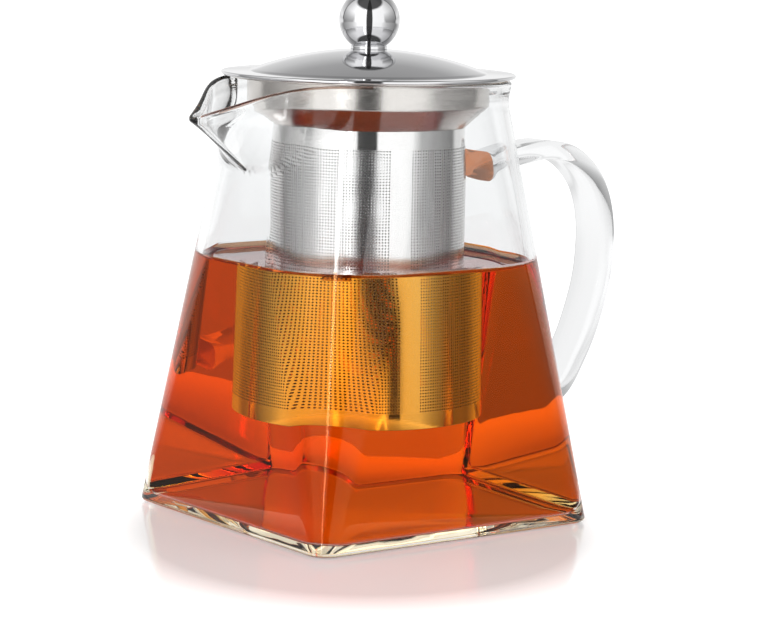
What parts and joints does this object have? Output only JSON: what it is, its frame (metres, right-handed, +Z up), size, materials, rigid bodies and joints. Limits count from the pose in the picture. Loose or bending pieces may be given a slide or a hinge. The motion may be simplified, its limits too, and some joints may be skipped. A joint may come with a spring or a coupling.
{
  "type": "glass teapot",
  "caption": "Square-to-round clear glass teapot with a pinched spout, fused glass strap handle, hanging perforated steel strainer and domed steel lid with a ball knob, part filled with tea.",
  "frame": {"origin": "centre of the square base, on the surface the pot stands on", "axes": "+Z up, +X towards the handle, -X towards the spout"},
  "size_m": [0.1615, 0.1048, 0.165],
  "materials": {
    "clear_glass": "polished",
    "tea": "gloss",
    "collar_steel": "satin",
    "sieve_steel": "satin",
    "mirror_steel": "polished",
    "inner_steel": "satin",
    "screw_steel": "satin"
  },
  "bodies": {
    "pot": {"glass_body": "clear_glass", "handle": "clear_glass", "tea": "tea"},
    "infuser": {"infuser_collar": "collar_steel", "strainer_tube": "sieve_steel", "strainer_bottom": "sieve_steel"},
    "lid": {"lid_cover": "mirror_steel", "lid_skirt": "inner_steel", "knob_ball": "mirror_steel", "knob_neck": "mirror_steel", "knob_screw": "screw_steel", "screw_washer": "screw_steel"}
  },
  "joints": [
    {"name": "infuser_lift", "type": "slide", "parent": "pot", "child": "infuser", "axis": [0, 0, 1], "range_m": [0, 0.12]},
    {"name": "lid_lift", "type": "slide", "parent": "infuser", "child": "lid", "axis": [0, 0, 1], "range_m": [0, 0.04]}
  ]
}
